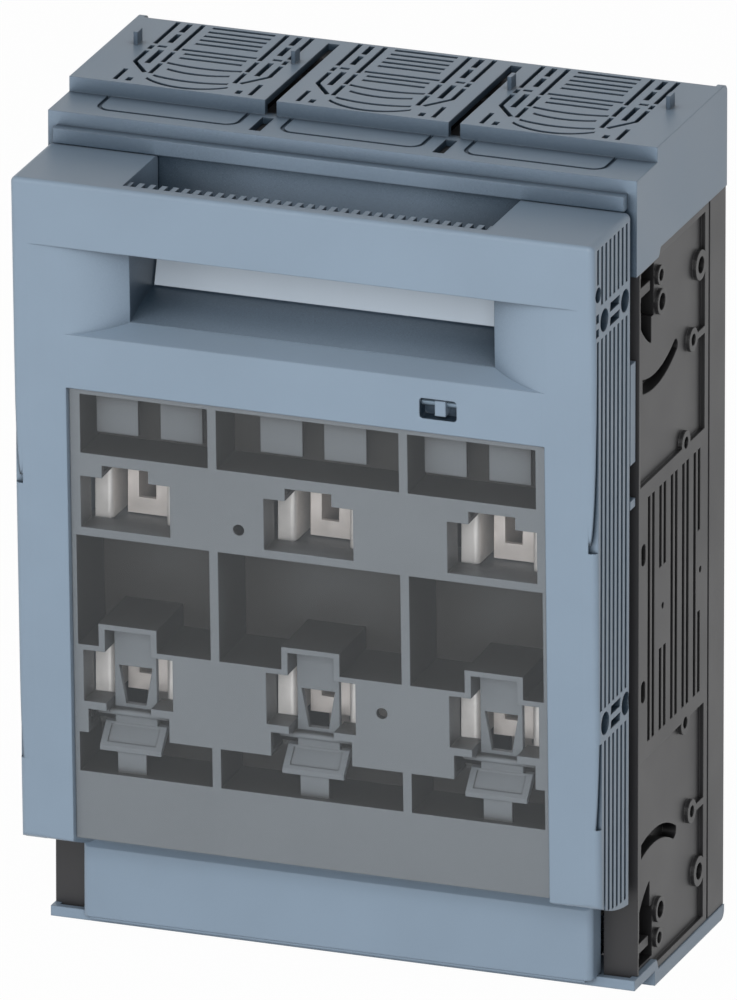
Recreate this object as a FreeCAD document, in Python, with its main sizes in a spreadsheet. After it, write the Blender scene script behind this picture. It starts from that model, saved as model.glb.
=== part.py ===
import FreeCAD, Part
import math
import os

import Sketcher
from FreeCAD import Placement, Rotation, Vector

# Three-pole fuse switch disconnector with a hinged front handle unit.
# X runs to the right, Y to the back and Z up. The origin is the centre of the
# mounting-hole pattern on the back plane, at half the overall height.

os.makedirs("parts", exist_ok=True)
doc = FreeCAD.newDocument("fuse_switch_disconnector")
sheet = doc.addObject("Spreadsheet::Sheet", "Sizes")


class Size:
    """A size: its value now, and the expression that keeps it bound to the sheet."""

    def __init__(self, value, text):
        self.value = value
        self.text = text

    def __add__(self, other):
        other = as_size(other)
        return Size(self.value + other.value, f"({self.text} + {other.text})")

    def __radd__(self, other):
        return as_size(other) + self

    def __sub__(self, other):
        other = as_size(other)
        return Size(self.value - other.value, f"({self.text} - {other.text})")

    def __rsub__(self, other):
        return as_size(other) - self

    def __mul__(self, other):
        other = as_size(other)
        return Size(self.value * other.value, f"({self.text} * {other.text})")

    def __rmul__(self, other):
        return as_size(other) * self

    def __truediv__(self, other):
        other = as_size(other)
        return Size(self.value / other.value, f"({self.text} / {other.text})")

    def __neg__(self):
        return Size(-self.value, f"(0 - {self.text})")


def as_size(number):
    if isinstance(number, Size):
        return number
    return Size(float(number), f"({float(number)!r})")


def slope_of(angle):
    """The tangent of an angle in degrees."""
    return Size(math.tan(math.radians(angle.value)), f"tan({angle.text})")


class Sizes:
    """One group of sizes in the sheet, each an attribute; group and name make its alias."""

    rows = 0

    def __init__(self, group_name, **values):
        for name, value in values.items():
            Sizes.rows += 1
            alias = f"{group_name}_{name}"
            sheet.set(f"A{Sizes.rows}", alias)
            sheet.set(f"B{Sizes.rows}", str(value))
            sheet.setAlias(f"B{Sizes.rows}", alias)
            setattr(self, name, Size(float(value), f"Sizes.{alias}"))


# Overall, covers and housing
s = Sizes(
    "body",
    width=210.0,            # over the terminal covers
    height=299.7,           # over the end blocks of both covers
    pole_pitch=65.5,        # from one pole to the next
    cover_depth=90.0,       # back plane to the front of the covers
    block_depth=69.7,       # back plane to the front of the end blocks
    block_step=5.3,         # end blocks above the front step
    cover_wall=2.5,
    skirt_drop=36.4,        # side skirt of the top cover, from its top
    skirt_jog=3.0,          # the skirt reaches lower at the front
    jog_depth=66.0,         # back plane to the jog in both skirts
    jog_run=2.0,
    lip=4.85,               # rim of the bottom cover behind the jog
    front_lip=3.6,          # and in front of it
    corner_round=3.0,       # back corners of both covers
    top_plate_back=4.5,     # the top plate stops short of the back plane
    fit=0.15,               # gap between mating mouldings
    channel_width=4.1,      # channel between two end blocks
    channel_back=8.3,
    channel_hole_front=85.7,
    channel_hole_back=72.0,
    peg_width=1.5,
    peg_height=4.6,
    peg_depth=4.6,
    peg_front=32.0,
    peg_outer=29.8,         # outer pegs, from the pole's middle
    peg_inner=26.8,         # inner pegs, from the pole's middle
    ridge_width=203.6,      # ridge on the front of the top cover
    ridge_top=139.85,
    ridge_height=5.2,
    ridge_proud=4.0,
    panel_width=183.0,      # front panel of the bottom cover
    panel_proud=5.5,
    panel_top=113.4,        # below the origin
    panel_round=2.5,
    panel_bevel=2.4,        # on the panel's upper front edge, clear of the hinged handle
    base_depth=86.0,        # back plane to the front of the housing
    base_inset=0.4,         # side faces of the housing inside those of the covers
    rear_depth=16.3,        # depth of the rear frame
    seam_width=1.5,
    seam_depth=2.0,
    back_plate=4.0,
    chamber_width=58.0,
    chamber_height=186.0,
    chamber_back=24.0,      # back plane to the floor of the chambers
    terminal_width=54.0,
    terminal_start=107.0,   # from the origin to each terminal pocket
    mount_spacing_x=176.0,
    mount_spacing_z=200.0,
    mount_hole=7.2,
    mount_well=15.0,
)

# Side faces of the housing: heights are from the middle of the side face
side = Sizes(
    "side",
    recess=1.5,
    field_low=49.2,
    field_high=126.5,
    field_front=84.6,
    field_back=20.5,
    cut_depth=6.5,
    big_boss=5.3, big_bore=3.0,
    small_boss=4.2, small_bore=2.1,
    slot_width=2.5,
    slot_gap=4.3,           # from one slot of a pair to the other
    pair_pitch=11.4,
    slot_front=75.8,
    slot_half=43.7,
    bridge_half=14.5,       # half the bridge that interrupts three slots
)

# Handle unit. Depths of leaning pieces are measured from the handle's front plane
h = Sizes(
    "handle",
    front=125.0,            # back plane to the front plane at the origin's height
    lean=2.14,              # the front plane leans forward at the top, in degrees
    back=91.7,
    width=207.8,
    top=134.2,
    foot=104.0,             # lower end of the front face, below the origin
    heel=112.4,             # lower end of the back edge
    foot_round=79.0,
    edge_round=2.2,
    wall=2.5,
    column_end=98.3,        # where the grip bar's face meets the columns
    column_flat=90.0,
    face_half=84.3,         # half the width of the frame bar
    face_depth=1.3,
    column_dip=0.66,
    grip_half=65.0,
    grip_depth=9.5,
    column_round=50.0,
    bar_low=111.0,
    bar_back=125.4,
    grip_low=79.3,
    frame_low=60.0,
    frame_wall=1.8,
    scoop_round=73.0,
    scoop_back=96.0,
    scoop_top=89.0,
    wall_top=100.0,
    wall_back=92.9,
    rib_pitch=4.03, rib_width=2.0, rib_depth=6.9,
    opening_half=85.3,
    hollow_front=116.0,     # front end of the hollow beside the grip
    column_wall=3.5,        # front wall of the columns below the grip
    side_wall=4.0,          # side wall of the columns, which holds the grooves
    hollow_reach=45.0,
    groove_width=1.8,
    groove_depth=3.0,
    groove_pitch=4.03,
    groove_first=96.9,
    lug_depth=3.9,
    hinge_depth=97.0,       # back plane to the hinge axis
    hinge_drop=108.0,       # hinge axis below the origin
    pin_radius=2.0,
    pin_clearance=0.05,
    ear_low=93.0, ear_high=97.0, ear_radius=4.5,
    ear_room=0.5,
    glass=2.0,
    glass_gap=0.2,
)

# Fuse carrier and its finger tabs, in the plane of the leaning front
c = Sizes(
    "carrier",
    plate=2.3,
    rim=1.6,
    rim_depth=10.2,
    contact_rim_depth=10.2,
    view_depth=18.0,        # depths of the closed pockets
    bay_depth=26.0,
    base_depth=21.0,
    pocket_wall=1.6,
    pocket_roof=1.0,
    half=84.9,
    top=59.6,
    foot=104.0,
    post=3.1,               # upright between two poles
    view_low=36.3,
    contact_half=16.0,
    upper_low=9.4, upper_high=27.9,
    notch_half=8.3, notch_high=32.4,
    bay_low=33.3, bay_high=6.4,
    hump_half=10.4, hump_high=25.1,
    lower_high=35.2, lower_low=53.8,
    shelf_half=12.9, shelf_top=57.1, shelf_thick=2.5,
    gap_half=14.5, gap_top=56.6,
    base_high=65.2, base_low=79.4,
    stem_half=5.1,
    stem_top=72.0,
    release_half=7.5,
    tab_half=11.0,
    travel=1.8,
    slide=0.3,
)

# Contacts and terminals
k = Sizes(
    "contact",
    jaw_front=101.0, jaw_gap=6.2, jaw_sheet=2.2, jaw_lip=4.0, jaw_height=26.0,
    upper_low=8.8, lower_low=54.2, jaw_bridge=5.8,
    bar_front=68.0, bar_thick=4.0, bar_width=25.0, bar_end=136.0, bar_start=5.0,
    clip_front=109.0, clip_inner=9.5, clip_outer=15.8, clip_sheet=1.2, clip_height=19.0,
    bolt_height=124.0, bolt_radius=5.0, bolt_head=8.0, head_height=6.4,
    washer_radius=10.0, washer_thick=2.0,
    screw_radius=2.5, screw_head=4.5, screw_head_height=3.0, screw_upper=52.0, screw_lower=66.0,
    plate_count=6, plate_pitch=5.0, plate_thick=1.2, plate_depth=14.0, plate_first=62.0,
    plate_notch=7.0,
    housing_screw=2.0, housing_screw_head=4.0, housing_screw_spacing=60.0,
)

POLES = (-1, 0, 1)
SIDES = (("left", -1), ("right", 1))
parts = []


def bind(item, prop, size):
    item.setExpression(prop, as_size(size).text)


def keep(name, item):
    """Marks an object as a finished piece; its name becomes the file's name."""
    item.Label = name
    parts.append(item)
    return item


def box(name, x, y, z):
    """A block between the low and the high end of x, y and z."""
    block = doc.addObject("Part::Box", name)
    for length, axis, (low, high) in zip(("Length", "Width", "Height"), "xyz", (x, y, z)):
        bind(block, length, as_size(high) - low)
        bind(block, f"Placement.Base.{axis}", low)
    return block


TURNS = {"x": Rotation(Vector(0, 1, 0), 90), "y": Rotation(Vector(1, 0, 0), -90), "z": Rotation()}


def rod(name, axis, low, high, radius, across, sides=0):
    """A cylinder along an axis, from low to high; across gives its other two places.

    With sides it is a prism of that many sides, for small pieces that repeat.
    """
    cylinder = doc.addObject("Part::Prism" if sides else "Part::Cylinder", name)
    cylinder.Placement = Placement(Vector(), TURNS[axis])
    if sides:
        cylinder.Polygon = sides
    bind(cylinder, "Circumradius" if sides else "Radius", radius)
    bind(cylinder, "Height", as_size(high) - low)
    places = dict(zip([letter for letter in "xyz" if letter != axis], across))
    places[axis] = low
    for letter, place in places.items():
        bind(cylinder, f"Placement.Base.{letter}", place)
    return cylinder


def fuse(name, items):
    union = doc.addObject("Part::MultiFuse", name)
    union.Shapes = list(items)
    union.Refine = True
    return union


def cut(name, base, tools):
    """The base without its tools, which may overlap each other."""
    tool = tools[0] if len(tools) == 1 else fuse(name + "_tools", tools)
    rest = doc.addObject("Part::Cut", name)
    rest.Base = base
    rest.Tool = tool
    rest.Refine = True
    return rest


def common(name, one, other):
    """What two items share."""
    shared = doc.addObject("Part::MultiCommon", name)
    shared.Shapes = [one, other]
    return shared


def mirror(name, source, axis, place=0):
    """A copy of the source, mirrored in the plane at right angles to the axis."""
    copy = doc.addObject("Part::Mirroring", name)
    copy.Source = source
    copy.Normal = {"x": Vector(1, 0, 0), "y": Vector(0, 1, 0), "z": Vector(0, 0, 1)}[axis]
    if isinstance(place, Size):
        bind(copy, f"Base.{axis}", place)
    return copy


def arc_between(start, end, radius):
    """The shorter arc from start to end; a positive radius turns left."""
    chord = end - start
    left = Vector(-chord.y, chord.x, 0)
    left.normalize()
    height = math.sqrt(radius ** 2 - (chord.Length / 2) ** 2)
    centre = start + chord * 0.5 + left * math.copysign(height, radius)
    angles = [math.atan2(point.y - centre.y, point.x - centre.x) for point in (start, end)]
    if radius < 0:
        angles.reverse()
    return Part.ArcOfCircle(Part.Circle(centre, Vector(0, 0, 1), abs(radius)), *angles)


def outline(body, name, plane, loops, place):
    """A sketch on an origin plane, moved along the plane's normal, with every corner bound.

    A loop is a list of corners (x, y), or (x, y, radius) where an arc leads to the next corner.
    A tuple (x, y, radius) in place of a loop is a circle.
    """
    sketch = body.newObject("Sketcher::SketchObject", name)
    origin = [item for item in body.Origin.OriginFeatures if item.Role == plane]
    sketch.AttachmentSupport = [(origin[0], "")]
    sketch.MapMode = "FlatFace"
    bind(sketch, "AttachmentOffset.Base.z", place)
    shapes, rules, bound = [], [], []

    def fix(kind, size, *where):
        bound.append((len(rules), size))
        rules.append(Sketcher.Constraint(kind, *where, size.value))

    for loop in loops:
        if isinstance(loop, tuple):
            x, y, radius = map(as_size, loop)
            number = len(shapes)
            centre = Vector(x.value, y.value, 0)
            shapes.append(Part.Circle(centre, Vector(0, 0, 1), radius.value))
            fix("DistanceX", x, -1, 1, number, 3)
            fix("DistanceY", y, -1, 1, number, 3)
            fix("Radius", radius, number)
            continue
        corners = [[as_size(value) for value in corner] for corner in loop]
        ends = []
        for index, corner in enumerate(corners):
            start = Vector(corner[0].value, corner[1].value, 0)
            following = corners[(index + 1) % len(corners)]
            end = Vector(following[0].value, following[1].value, 0)
            number = len(shapes)
            if len(corner) == 3:
                radius = corner[2]
                shapes.append(arc_between(start, end, radius.value))
                fix("Radius", radius if radius.value > 0 else -radius, number)
                ends.append((number, 1, 2) if radius.value > 0 else (number, 2, 1))
            else:
                shapes.append(Part.LineSegment(start, end))
                ends.append((number, 1, 2))
        for index, corner in enumerate(corners):
            number, begin, _ = ends[index]
            before, _, close = ends[index - 1]
            rules.append(Sketcher.Constraint("Coincident", before, close, number, begin))
            fix("DistanceX", corner[0], -1, 1, number, begin)
            fix("DistanceY", corner[1], -1, 1, number, begin)
    sketch.addGeometry(shapes, False)
    sketch.addConstraint(rules)
    for index, size in bound:
        bind(sketch, f"Constraints[{index}]", size)
    return sketch


def prism(name, plane, loops, low, high):
    """A padded outline. plane is xy, xz or yz, and low to high is its reach along the third axis."""
    body = doc.addObject("PartDesign::Body", name)
    body.AllowCompound = True
    start = -as_size(high) if plane == "xz" else as_size(low)
    sketch = outline(body, name + "_outline", plane.upper() + "_Plane", loops, start)
    pad = body.newObject("PartDesign::Pad", name + "_pad")
    pad.Profile = sketch
    bind(pad, "Length", as_size(high) - low)
    return body


def repeat(body, axis, length, count):
    """Repeats the last pad of a body along an axis; length is from the first to the last."""
    pad = body.Tip
    pattern = body.newObject("PartDesign::LinearPattern", body.Name + "_row")
    pattern.Originals = [pad]
    origin = [item for item in body.Origin.OriginFeatures if item.Role == axis + "_Axis"]
    pattern.Direction = (origin[0], [""])
    bind(pattern, "Length", length)
    pattern.Occurrences = count
    body.Tip = pattern
    return body


def rectangle(x, y):
    """The loop of a rectangle between the ends of x and y."""
    return [(x[0], y[0]), (x[1], y[0]), (x[1], y[1]), (x[0], y[1])]


def about(middle, half):
    """The low and high ends at half a width on each side of the middle."""
    return as_size(middle) - half, as_size(middle) + half


def leaning(item):
    """Sets a piece that was made upright, with its front at y = 0, into the leaning front plane."""
    if item.TypeId in ("Part::Box", "Part::Cylinder", "Part::Prism"):
        item = group(item.Name + "_leaning", [item])
    item.Placement = Placement(Vector(), Rotation(Vector(1, 0, 0), h.lean.value))
    bind(item, "Placement.Rotation.Angle", h.lean)
    bind(item, "Placement.Base.y", -h.front)
    return item


def rounded(name, item, radius, wanted):
    """Rounds the edges of an item whose middle passes the test."""
    doc.recompute()
    fillet = doc.addObject("Part::Fillet", name)
    fillet.Base = item
    chosen = []
    for number, edge in enumerate(item.Shape.Edges, 1):
        if wanted(edge.CenterOfMass, edge):
            chosen.append((number, radius.value, radius.value))
    fillet.Edges = chosen
    return fillet


half = s.width / 2
top = s.height / 2
step = top - s.block_step
skirt = top - s.skirt_drop
front_skirt = skirt - s.skirt_jog
rim_top = -top + s.lip
front_rim_top = -step + s.front_lip
inner_half = half - s.cover_wall
side_middle = (skirt + rim_top) / 2


# Terminal covers

def grille_loops(middle):
    """The slots over one pole, each a loop; depths are from the back plane."""
    slot, flank, edge = 1.7, 2.0, 1.6
    row_half, long_half = 11.2, 13.4
    loops = []
    for row in range(5):
        back = -6.4 - 4.2 * row
        loops.append(rectangle(about(middle, row_half), (back - slot, back)))
    for back, reach in ((-30.2, long_half), (-34.2, row_half), (-38.6, row_half)):
        loops.append(rectangle(about(middle, reach), (back - slot, back)))
    # Bowed slots, and the arc that closes the field at the front
    for back, reach, bow in ((-44.6, long_half, 1.8), (-50.6, row_half, 2.2),
                             (-58.2, long_half, 2.2), (-61.6, 14.6, 5.4)):
        bend = (reach ** 2 + bow ** 2) / (2 * bow)
        low, high = about(middle, reach)
        loops.append([(low, back, bend), (high, back), (high, back - slot, -bend),
                      (low, back - slot)])
    for sign in (-1, 1):
        def strip(across, wide, front, back):
            return rectangle(about(middle + sign * across, wide / 2), (front, back))
        for front, back in ((-33.2, -5.5), (-45.4, -34.8), (-57.4, -46.8)):
            loops.append(strip(15.1, edge, front, back))
        for front, back in ((-14.8, -6.2), (-26.0, -17.0), (-48.0, -34.0)):
            loops.append(strip(19.7, flank, front, back))
        loops.append(strip(20.7, 3.2, -31.4, -29.6))
        for front, back in ((-28.5, -5.5), (-34.2, -30.4)):
            loops.append(strip(24.1, edge, front, back))
        loops.append(strip(24.2, edge, -67.0, -55.8))
        loops.append(strip(19.6, flank, -67.0, -63.6))
        diagonal = [(23.3, -36.0), (24.9, -36.0), (24.9, -47.9), (17.9, -57.6), (16.5, -56.6),
                    (23.3, -47.4)]
        loops.append([(middle + sign * x, y) for x, y in diagonal[::sign]])
    return loops


def block_cuts(name, up):
    """Grille, channels and groove of the end blocks; up is 1 on the top cover and -1 below."""
    def between(low, high):
        return (low, high) if up > 0 else (-as_size(high), -as_size(low))

    grille = prism(name + "_grille", "xy", grille_loops(-s.pole_pitch),
                   *between(top - s.cover_wall - 1, top + 1))
    repeat(grille, "X", 2 * s.pole_pitch, 3)
    reach, front, corner, wide = 24.3, 82.6, 4.0, 1.4
    middle = -s.pole_pitch
    outer, outer_front = reach + wide, front + wide
    outer_corner = corner + wide
    block_front = -s.block_depth
    groove_loop = [
        (middle - outer, block_front),
        (middle - outer, -outer_front + outer_corner, outer_corner),
        (middle - outer + outer_corner, -outer_front),
        (middle + outer - outer_corner, -outer_front, outer_corner),
        (middle + outer, -outer_front + outer_corner), (middle + outer, block_front),
        (middle + reach, block_front), (middle + reach, -front + corner, -corner),
        (middle + reach - corner, -front), (middle - reach + corner, -front, -corner),
        (middle - reach, -front + corner), (middle - reach, block_front)]
    groove = prism(name + "_groove", "xy", [groove_loop], *between(step - 0.8, step + 0.5))
    repeat(groove, "X", 2 * s.pole_pitch, 3)
    tools = [grille, groove]
    for word, sign in SIDES:
        across = about(sign * s.pole_pitch / 2, s.channel_width / 2)
        tools.append(box(f"{name}_channel_{word}", across,
                         (-s.block_depth - 1, -s.channel_back), between(step, top + 1)))
        tools.append(box(f"{name}_hole_{word}", across,
                         (-s.channel_hole_front, -s.channel_hole_back),
                         between(step - s.cover_wall - 1, step + 1)))
    return tools


def make_top_cover():
    """Top cover: stepped shell, open below and behind, with its side skirts."""
    jog_front = -s.jog_depth - s.jog_run
    shell = prism("top_cover_shell", "yz", [[
        (-s.cover_depth, front_skirt), (jog_front, front_skirt), (-s.jog_depth, skirt),
        (0, skirt), (0, top - s.corner_round, s.corner_round), (-s.corner_round, top),
        (-s.block_depth, top), (-s.block_depth, step), (-s.cover_depth, step)]], -half, half)
    inner_front = -s.cover_depth + s.cover_wall
    inner_block = -s.block_depth + s.cover_wall
    low = front_skirt - 5
    hollow = prism("top_cover_hollow", "yz", [[
        (inner_front, low), (5, low), (5, top - s.cover_wall), (inner_block, top - s.cover_wall),
        (inner_block, step - s.cover_wall), (inner_front, step - s.cover_wall)]],
        -inner_half, inner_half)
    plate_end = box("top_cover_plate_end", (-inner_half, inner_half), (-s.top_plate_back, 5),
                    (top - s.cover_wall - 1, top + 1))
    shell = cut("top_cover_open", shell,
                [hollow, plate_end] + block_cuts("top", 1))
    extras = [box("top_ridge", about(0, s.ridge_width / 2),
                  (-s.cover_depth - s.ridge_proud, -s.cover_depth),
                  (s.ridge_top - s.ridge_height, s.ridge_top))]
    for word, sign in SIDES:
        for place, offset in (("outer", s.peg_outer), ("inner", -s.peg_inner)):
            across = about(sign * (s.pole_pitch + offset), s.peg_width / 2)
            extras.append(box(f"peg_{word}_{place}", across,
                              (-s.peg_front, -s.peg_front + s.peg_depth), (top, top + s.peg_height)))
    keep("top_terminal_cover", fuse("top_cover", [shell] + extras))


def make_bottom_cover():
    """Bottom cover: shallow stepped tray with a raised front panel."""
    jog_front = -s.jog_depth - s.jog_run
    shell = prism("bottom_cover_shell", "yz", [[
        (-s.cover_depth, -step), (-s.block_depth, -step), (-s.block_depth, -top),
        (-s.corner_round, -top, s.corner_round), (0, -top + s.corner_round), (0, rim_top),
        (-s.jog_depth, rim_top), (jog_front, front_rim_top), (-s.cover_depth, front_rim_top)]],
        -half, half)
    inner_front = -s.cover_depth + s.cover_wall
    inner_block = -s.block_depth + s.cover_wall
    hollow = prism("bottom_cover_hollow", "yz", [[
        (inner_front, -step + s.cover_wall), (inner_block, -step + s.cover_wall),
        (inner_block, -top + s.cover_wall), (5, -top + s.cover_wall),
        (5, front_rim_top + 5), (inner_front, front_rim_top + 5)]], -inner_half, inner_half)
    tray = cut("bottom_cover_open", shell, [hollow] + block_cuts("bottom", -1))
    wide = s.panel_width / 2
    front, back = -s.cover_depth - s.panel_proud, -s.base_depth - s.fit
    turn, wall = s.panel_round, s.cover_wall
    panel = prism("bottom_panel", "xy", [[
        (-wide, back), (-wide, front + turn, turn), (-wide + turn, front),
        (wide - turn, front, turn), (wide, front + turn), (wide, back),
        (wide - wall, back), (wide - wall, front + wall), (-wide + wall, front + wall),
        (-wide + wall, back)]], front_rim_top, -s.panel_top)
    sill = box("bottom_panel_sill", about(0, wide - wall), (front + 0.5, -s.base_depth - s.fit),
               (front_rim_top - 1, front_rim_top + wall))
    bevel = prism("panel_bevel", "yz", [[
        (front - 1, -s.panel_top - s.panel_bevel - 1), (front + s.panel_bevel + 1, -s.panel_top + 1),
        (front - 1, -s.panel_top + 1)]], -wide - 1, wide + 1)
    keep("bottom_terminal_cover", fuse("bottom_cover", [tray, cut("panel", panel, [bevel]), sill]))


# Rear frame and housing

base_half = half - s.base_inset
inside_half = inner_half - s.fit


def mount_points():
    """Name and place of each mounting hole."""
    for word, sign in SIDES:
        for level, up in (("low", -1), ("high", 1)):
            yield f"{word}_{level}", sign * s.mount_spacing_x / 2, up * s.mount_spacing_z / 2


def housing_screw_points():
    """Name and place of each screw between rear frame and housing."""
    for word, sign in SIDES:
        for row in (-1, 0, 1):
            yield f"{word}_{row + 2}", sign * s.pole_pitch / 2, row * k.housing_screw_spacing


def make_rear_frame():
    """Rear frame: back plate with walls round three shallow bays and four mounting bosses."""
    body = box("rear_block", (-base_half, base_half), (-s.rear_depth, 0),
               (rim_top + s.fit, skirt - s.fit))
    inside = box("rear_inside", (-inside_half, inside_half), (-s.rear_depth, -s.fit),
                 (-top + s.cover_wall + s.fit, top - s.cover_wall - s.fit))
    bays = []
    for pole in POLES:
        bays.append(box(f"rear_bay_{pole + 2}", about(pole * s.pole_pitch, s.chamber_width / 2),
                        (-s.rear_depth - 1, -s.back_plate), about(0, s.chamber_height / 2)))
    frame = cut("rear_open", fuse("rear_solid", [body, inside]), bays)
    boss_radius = s.mount_well / 2
    bosses = [rod(f"rear_boss_{name}", "y", -s.rear_depth, -1, boss_radius, (x, z), 24)
              for name, x, z in mount_points()]
    holes = [rod(f"mount_hole_{name}", "y", -s.rear_depth - 1, 1, s.mount_hole / 2, (x, z))
             for name, x, z in mount_points()]
    for name, x, z in housing_screw_points():
        holes.append(rod(f"rear_screw_hole_{name}", "y", -s.rear_depth - 1, 1,
                         k.housing_screw + s.fit, (x, z), 12))
        holes.append(rod(f"rear_screw_sink_{name}", "y", -s.back_plate, 1,
                         k.housing_screw_head + s.fit, (x, z), 16))
    for word, sign in SIDES:
        edge = sign * base_half
        holes.append(box(f"rear_seam_{word}", about(edge, s.seam_depth),
                         (-s.rear_depth - 1, -s.rear_depth + s.seam_width / 2),
                         (rim_top - 1, skirt + 1)))
    keep("rear_frame", cut("rear", fuse("rear_bossed", [frame] + bosses), holes))


def side_tools():
    """What is cut into the right side face: two recessed fields, pockets, slots and holes."""
    face = base_half
    deep = face - side.cut_depth
    shallow = face - side.recess

    def disc(name, y, up, radius, low):
        return rod(name, "x", low, face + 1, radius, (-as_size(y), side_middle + up), 20)

    field = box("side_field", (shallow, face + 1), (-side.field_front, -side.field_back),
                (side_middle + side.field_low, side_middle + side.field_high))
    bosses = [disc("side_boss_big", 24.4, 108.8, side.big_boss, shallow),
              disc("side_boss_small", 31.8, 84.6, side.small_boss, shallow),
              disc("side_boss_low", 38.8, 50.2, side.small_boss, shallow),
              disc("side_boss_front", 63.2, 108.8, side.big_boss - 0.8, shallow),
              disc("side_boss_tip", 64.2, 118.6, side.small_boss - 0.8, shallow),
              box("side_boss_arm", (shallow, face + 1), (-31.8, -side.field_back),
                  about(side_middle + 84.6, 1.2))]
    tools = [cut("side_field_open", field, bosses)]
    # Corner pocket with its bar
    low, high = side_middle + 96.4, side_middle + 124.0
    pocket = prism("side_pocket", "yz", [[
        (-71.0, low, -30.0), (-85.0, side_middle + 112.5), (-85.0, high), (-67.6, high),
        (-67.6, side_middle + 105.5), (-70.0, side_middle + 105.5), (-70.0, low)]], deep, face + 1)
    bar = box("side_pocket_bar", (deep, face + 1), (-86.0, -71.5),
              about(side_middle + 117.2, 1.7))
    tools.append(cut("side_pocket_open", pocket, [bar]))
    # Curved slot below the pocket
    tools.append(prism("side_curved_slot", "yz", [[
        (-78.6, side_middle + 80.6, 45.0), (-43.8, side_middle + 85.6, 2.6),
        (-46.8, side_middle + 89.4, -41.0), (-78.6, side_middle + 85.8)]], deep, face + 1))
    tools.append(box("side_front_slot", (deep, face + 1), (-84.8, -82.0),
                     (side_middle + 83.0, side_middle + 90.4)))
    for name, y, up, radius in (("big", 24.4, 108.8, side.big_bore),
                                ("small", 31.8, 84.6, side.small_bore),
                                ("low", 38.8, 50.2, side.small_bore),
                                ("front", 63.2, 108.8, side.big_bore),
                                ("tip", 64.2, 118.6, side.small_bore)):
        tools.append(disc(f"side_bore_{name}", y, up, radius, deep))
    tools.append(prism("side_oval", "yz", [[
        (-83.4, side_middle + 22.0), (-83.4, side_middle + 27.0, -2.3),
        (-79.2, side_middle + 27.0), (-79.2, side_middle + 22.0, -2.3)]], deep, face + 1))
    return tools


def middle_slots():
    """Five pairs of upright slots in the right side face; three of them are interrupted."""
    face = base_half
    deep = face - side.cut_depth
    slots = []
    for pair in range(5):
        for half_pair in range(2):
            place = -side.slot_front + pair * side.pair_pitch + half_pair * side.slot_gap
            across = about(place, side.slot_width / 2)
            name = f"side_slot_{pair + 1}_{half_pair + 1}"
            if (pair, half_pair) in ((1, 0), (1, 1), (4, 1)):
                for up in (-1, 1):
                    ends = sorted((up * side.bridge_half.value, up * side.slot_half.value))
                    low, high = ((side.bridge_half, side.slot_half) if up > 0
                                 else (-side.slot_half, -side.bridge_half))
                    slots.append(box(f"{name}_{up + 2}", (deep, face + 1), across,
                                     (side_middle + low, side_middle + high)))
            else:
                slots.append(box(name, (deep, face + 1), across,
                                 about(side_middle, side.slot_half)))
    for place in (-62.0, -24.4):
        slots.append(rod(f"side_dot_{int(-place)}", "x", deep, face + 1, 1.2,
                         (place, side_middle), 10))
    return slots


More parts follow.
